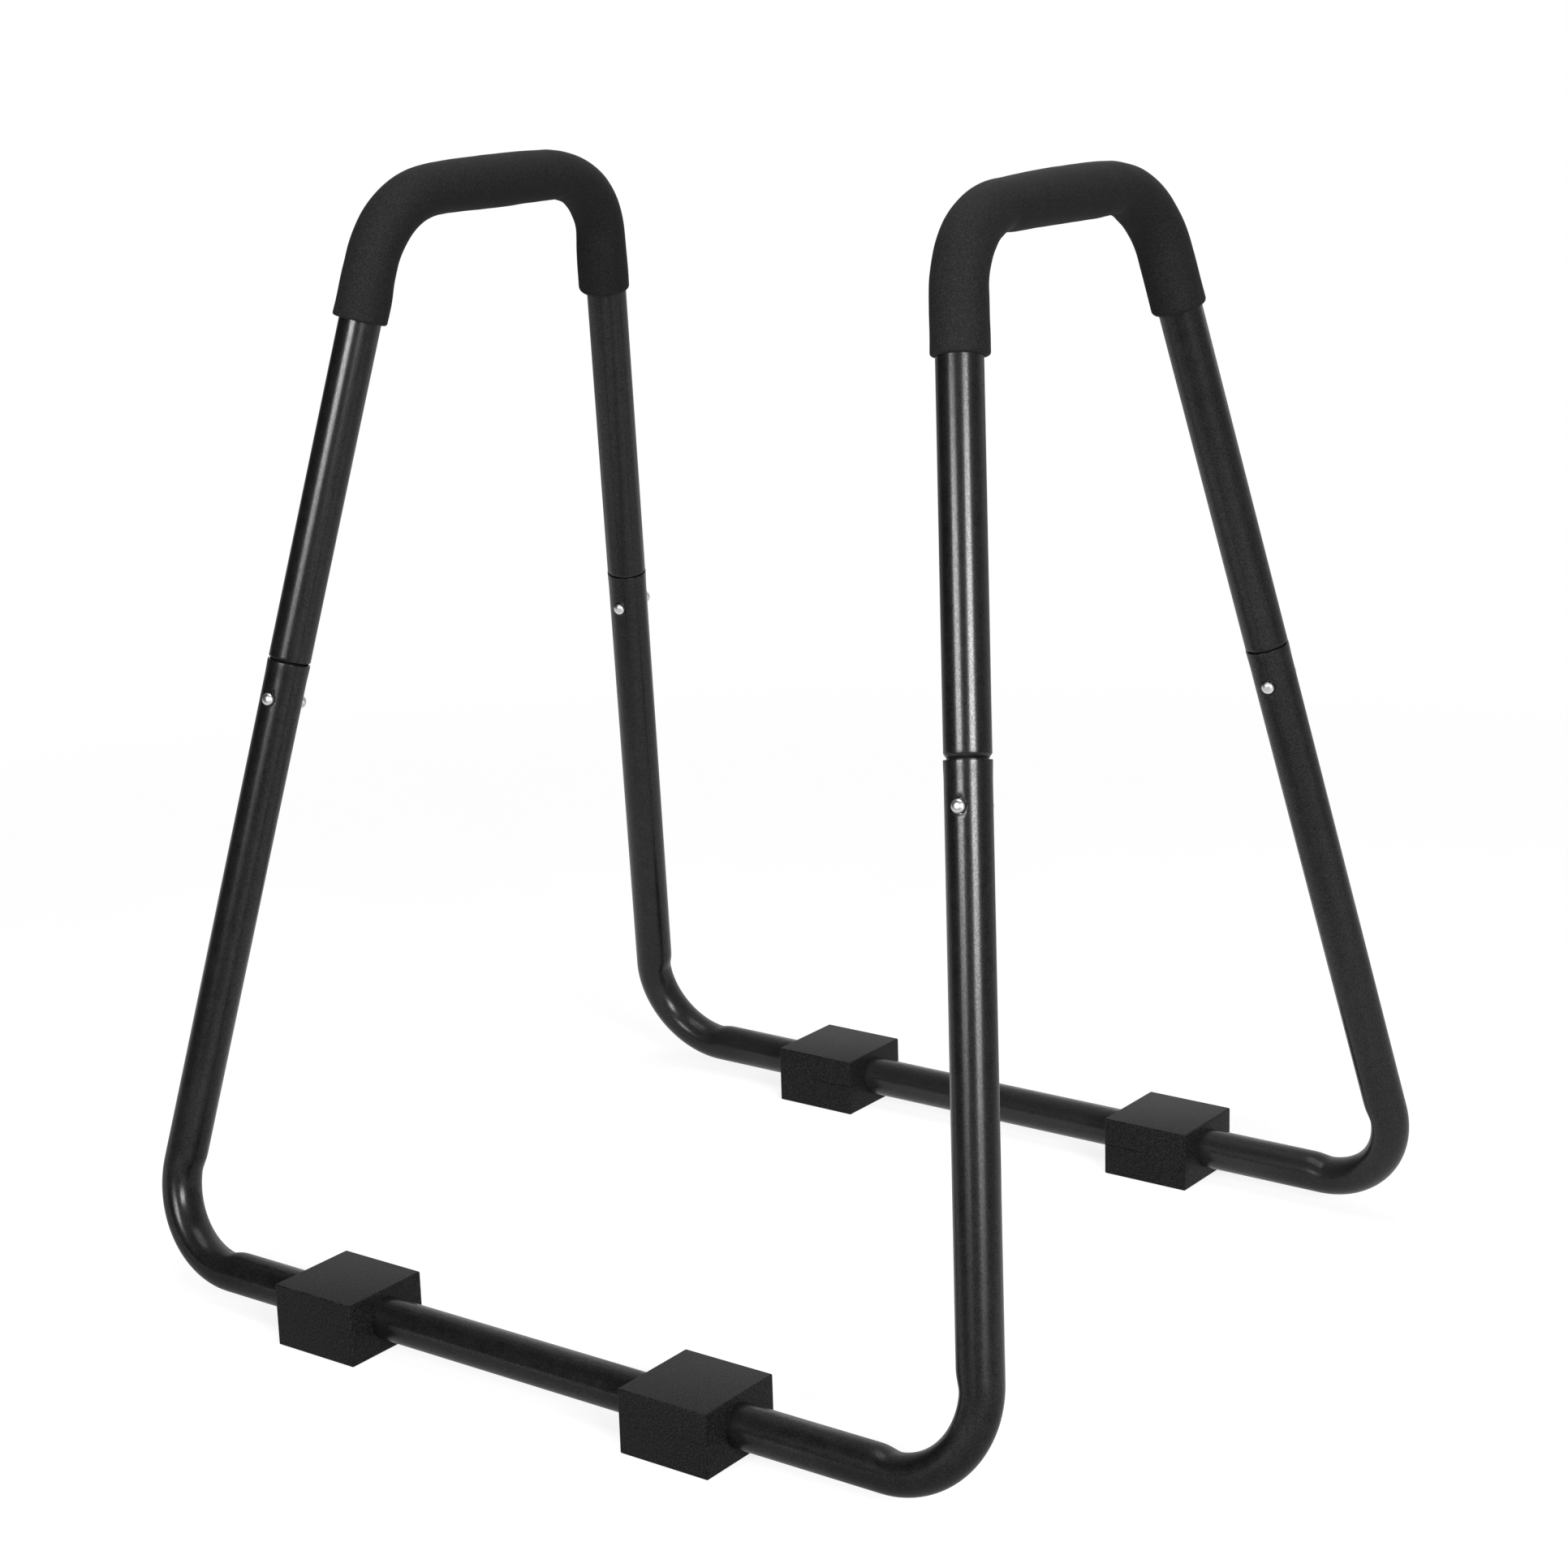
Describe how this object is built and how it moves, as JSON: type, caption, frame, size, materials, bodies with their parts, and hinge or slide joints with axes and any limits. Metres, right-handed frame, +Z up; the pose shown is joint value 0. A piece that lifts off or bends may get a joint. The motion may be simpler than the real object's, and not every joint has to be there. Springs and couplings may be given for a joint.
{
  "type": "dip station",
  "caption": "Free-standing dip station: bent steel tubes plug together at snap-button joints, with foam sleeves on the handle bars and square foam blocks on the base tubes.",
  "frame": {"origin": "centre of the stand's bounding box, on the floor under the foam feet", "axes": "+X towards the right handle, +Y towards the rear base tube, +Z up"},
  "size_m": [0.7688, 0.6942, 0.8463],
  "materials": {
    "powder_coat": "black powder coat, semi-gloss, with a fine orange peel",
    "grip_foam": "matte black closed-cell foam with a fine grain",
    "foot_foam": "matte black closed-cell foam, cut square, finely pored",
    "button_steel": "polished domed steel",
    "spring_steel": "tempered strip, dull grey"
  },
  "bodies": {
    "frame": {"front_base_tube": "powder_coat", "rear_base_tube": "powder_coat", "left_handle_tube": "powder_coat", "right_handle_tube": "powder_coat", "left_foam_grip": "grip_foam", "right_foam_grip": "grip_foam", "front_left_snap_spring": "spring_steel", "front_right_snap_spring": "spring_steel", "rear_left_snap_spring": "spring_steel", "rear_right_snap_spring": "spring_steel"},
    "front_left_foot": {"front_left_foot_block": "foot_foam"},
    "front_right_foot": {"front_right_foot_block": "foot_foam"},
    "rear_left_foot": {"rear_left_foot_block": "foot_foam"},
    "rear_right_foot": {"rear_right_foot_block": "foot_foam"},
    "front_left_front_button": {"front_left_snap_button_front": "button_steel"},
    "front_left_back_button": {"front_left_snap_button_back": "button_steel"},
    "front_right_front_button": {"front_right_snap_button_front": "button_steel"},
    "front_right_back_button": {"front_right_snap_button_back": "button_steel"},
    "rear_left_front_button": {"rear_left_snap_button_front": "button_steel"},
    "rear_left_back_button": {"rear_left_snap_button_back": "button_steel"},
    "rear_right_front_button": {"rear_right_snap_button_front": "button_steel"},
    "rear_right_back_button": {"rear_right_snap_button_back": "button_steel"}
  },
  "joints": [
    {"name": "front_left_foot_slide", "type": "slide", "parent": "frame", "child": "front_left_foot", "axis": [1, 0, 0], "range_m": [-0.075, 0.125]},
    {"name": "front_right_foot_slide", "type": "slide", "parent": "frame", "child": "front_right_foot", "axis": [1, 0, 0], "range_m": [-0.125, 0.112]},
    {"name": "rear_left_foot_slide", "type": "slide", "parent": "frame", "child": "rear_left_foot", "axis": [1, 0, 0], "range_m": [-0.084, 0.128]},
    {"name": "rear_right_foot_slide", "type": "slide", "parent": "frame", "child": "rear_right_foot", "axis": [1, 0, 0], "range_m": [-0.128, 0.096]},
    {"name": "front_left_front_button_press", "type": "slide", "parent": "frame", "child": "front_left_front_button", "axis": [-0.1375, 0.9693, -0.2038], "range_m": [0, 0.0055], "stiffness_N_per_m": 1500, "springref_m": -0.005, "deforming": ["front_left_snap_spring"]},
    {"name": "front_left_back_button_press", "type": "slide", "parent": "frame", "child": "front_left_back_button", "axis": [-0.402, -0.8757, 0.2675], "range_m": [0, 0.0055], "stiffness_N_per_m": 1500, "springref_m": -0.005, "deforming": ["front_left_snap_spring"]},
    {"name": "front_right_front_button_press", "type": "slide", "parent": "frame", "child": "front_right_front_button", "axis": [-0.1375, 0.9597, -0.2451], "range_m": [0, 0.0055], "stiffness_N_per_m": 1500, "springref_m": -0.005, "deforming": ["front_right_snap_spring"]},
    {"name": "front_right_back_button_press", "type": "slide", "parent": "frame", "child": "front_right_back_button", "axis": [-0.2558, -0.9497, 0.1805], "range_m": [0, 0.0055], "stiffness_N_per_m": 1500, "springref_m": -0.005, "deforming": ["front_right_snap_spring"]},
    {"name": "rear_left_front_button_press", "type": "slide", "parent": "frame", "child": "rear_left_front_button", "axis": [-0.1375, 0.9597, 0.2451], "range_m": [0, 0.0055], "stiffness_N_per_m": 1500, "springref_m": -0.005, "deforming": ["rear_left_snap_spring"]},
    {"name": "rear_left_back_button_press", "type": "slide", "parent": "frame", "child": "rear_left_back_button", "axis": [-0.402, -0.9038, -0.1466], "range_m": [0, 0.0055], "stiffness_N_per_m": 1500, "springref_m": -0.005, "deforming": ["rear_left_snap_spring"]},
    {"name": "rear_right_front_button_press", "type": "slide", "parent": "frame", "child": "rear_right_front_button", "axis": [-0.1375, 0.9693, 0.2038], "range_m": [0, 0.0055], "stiffness_N_per_m": 1500, "springref_m": -0.005, "deforming": ["rear_right_snap_spring"]},
    {"name": "rear_right_back_button_press", "type": "slide", "parent": "frame", "child": "rear_right_back_button", "axis": [-0.2558, -0.9318, -0.2574], "range_m": [0, 0.0055], "stiffness_N_per_m": 1500, "springref_m": -0.005, "deforming": ["rear_right_snap_spring"]}
  ]
}
